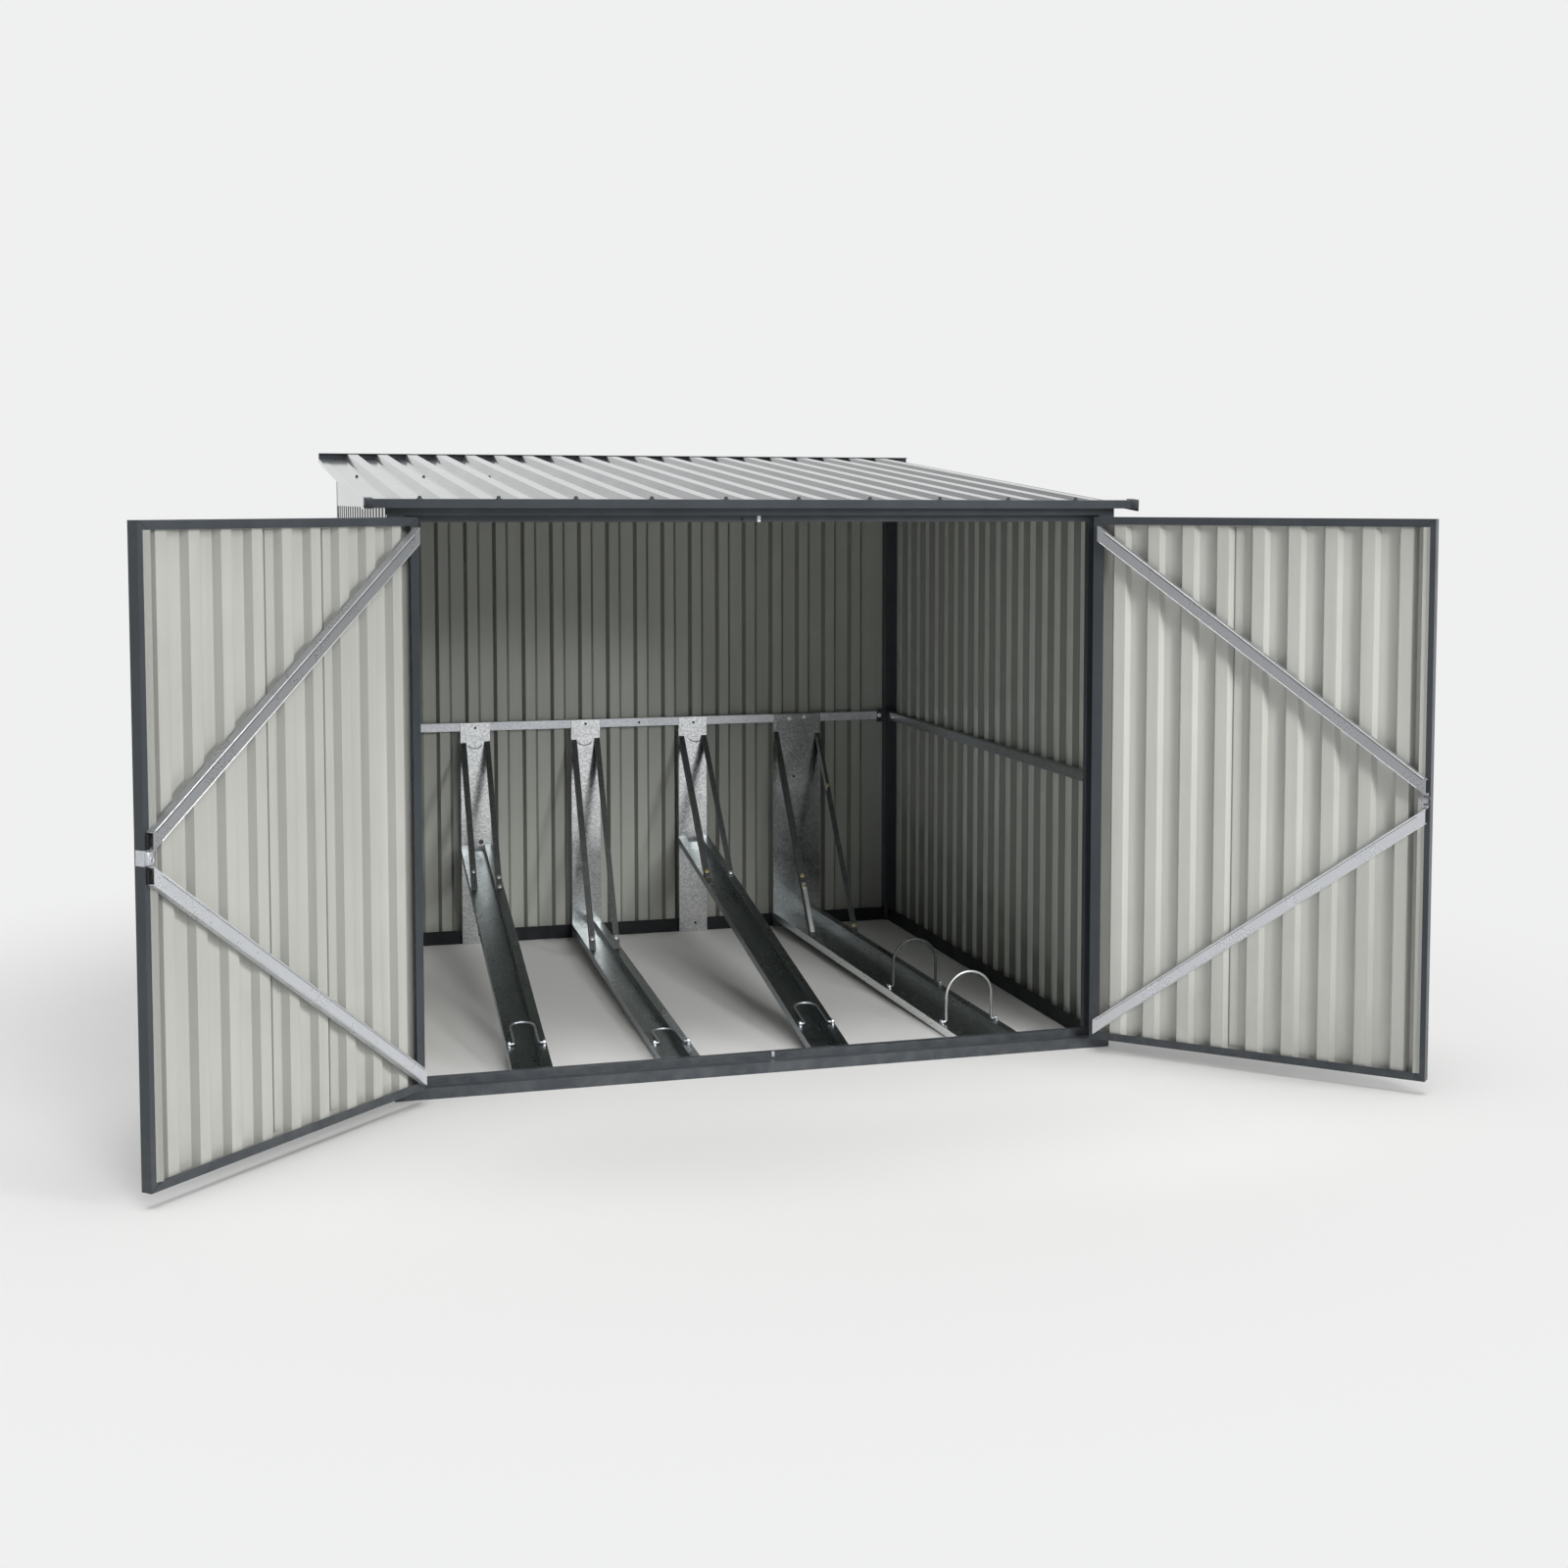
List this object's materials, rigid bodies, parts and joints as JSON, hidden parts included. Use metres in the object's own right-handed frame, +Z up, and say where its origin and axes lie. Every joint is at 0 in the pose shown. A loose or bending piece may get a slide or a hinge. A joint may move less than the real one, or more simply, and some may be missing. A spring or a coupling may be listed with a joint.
{
  "type": "bike shelter",
  "caption": "Sheet-steel bike shelter with a lean-to ribbed roof, hinged double doors and sloping wheel racks inside, standing open.",
  "frame": {"origin": "middle of the front sill's underside, on the ground", "axes": "+X to the right along the front, +Y towards the rear wall, +Z up; the doors are at -Y"},
  "size_m": [3.3216, 2.844, 1.769],
  "materials": {
    "frame_paint": "satin anthracite",
    "sheet_coating": "satin grey-white",
    "zinc": "hot-dip zinc",
    "rack_zinc": "spangled zinc",
    "bail_bar": "bright zinc"
  },
  "bodies": {
    "shelter": {"front_sill": "frame_paint", "front_header": "frame_paint", "front_left_post": "frame_paint", "front_right_post": "frame_paint", "rear_left_post": "frame_paint", "rear_right_post": "frame_paint", "left_base_rail": "frame_paint", "right_base_rail": "frame_paint", "rear_base_rail": "frame_paint", "rear_top_rail": "frame_paint", "left_gable_panel": "frame_paint", "right_gable_panel": "frame_paint", "eave_trim": "frame_paint", "rear_roof_trim": "frame_paint", "left_verge_trim": "frame_paint", "right_verge_trim": "frame_paint", "left_wall_sheet": "sheet_coating", "right_wall_sheet": "sheet_coating", "rear_wall_sheet": "sheet_coating", "roof_sheet": "sheet_coating", "rear_rack_rail": "zinc", "left_side_rail": "zinc", "right_side_rail": "zinc", "rack_1_plate": "rack_zinc", "rack_1_channel": "rack_zinc", "rack_1_struts": "rack_zinc", "rack_2_plate": "rack_zinc", "rack_2_channel": "rack_zinc", "rack_2_struts": "rack_zinc", "rack_3_plate": "rack_zinc", "rack_3_channel": "rack_zinc", "rack_3_struts": "rack_zinc", "rack_4_plate": "rack_zinc", "rack_4_channel": "rack_zinc", "rack_4_struts": "rack_zinc"},
    "left_door": {"left_door_frame": "frame_paint", "left_door_sheet": "sheet_coating", "left_door_braces": "zinc", "door_lock": "zinc"},
    "right_door": {"right_door_frame": "frame_paint", "right_door_sheet": "sheet_coating", "right_door_braces": "zinc"},
    "rack_1_bail": {"rack_1_bail": "bail_bar"},
    "rack_2_bail": {"rack_2_bail": "bail_bar"},
    "rack_3_bail": {"rack_3_bail": "bail_bar"},
    "rack_4_bail": {"rack_4_bail": "bail_bar"},
    "rack_4_second_bail": {"rack_4_second_bail": "bail_bar"}
  },
  "joints": [
    {"name": "left_door_hinge", "type": "hinge", "parent": "shelter", "child": "left_door", "pos_m": [-0.984, -0.037, 0.8], "axis": [0, 0, -1], "range_deg": [-134, 40]},
    {"name": "right_door_hinge", "type": "hinge", "parent": "shelter", "child": "right_door", "pos_m": [0.984, -0.037, 0.8], "axis": [0, 0, 1], "range_deg": [-134, 40]},
    {"name": "rack_1_bail_pivot", "type": "hinge", "parent": "shelter", "child": "rack_1_bail", "pos_m": [-0.64044, 0.25254, 0.06176], "axis": [0.999, -0.0436, 0], "range_deg": [0, 100]},
    {"name": "rack_2_bail_pivot", "type": "hinge", "parent": "shelter", "child": "rack_2_bail", "pos_m": [-0.21909, 0.2593, 0.03402], "axis": [0.9995, -0.0314, 0], "range_deg": [0, 100]},
    {"name": "rack_3_bail_pivot", "type": "hinge", "parent": "shelter", "child": "rack_3_bail", "pos_m": [0.21689, 0.25099, 0.06176], "axis": [0.9999, -0.0105, 0], "range_deg": [0, 100]},
    {"name": "rack_4_bail_pivot", "type": "hinge", "parent": "shelter", "child": "rack_4_bail", "pos_m": [0.70111, 0.25972, 0.03402], "axis": [0.9993, 0.0384, 0], "range_deg": [-90, 10]},
    {"name": "rack_4_second_bail_pivot", "type": "hinge", "parent": "shelter", "child": "rack_4_second_bail", "pos_m": [0.68326, 0.72431, 0.04185], "axis": [0.9993, 0.0384, 0], "range_deg": [-90, 10]}
  ]
}
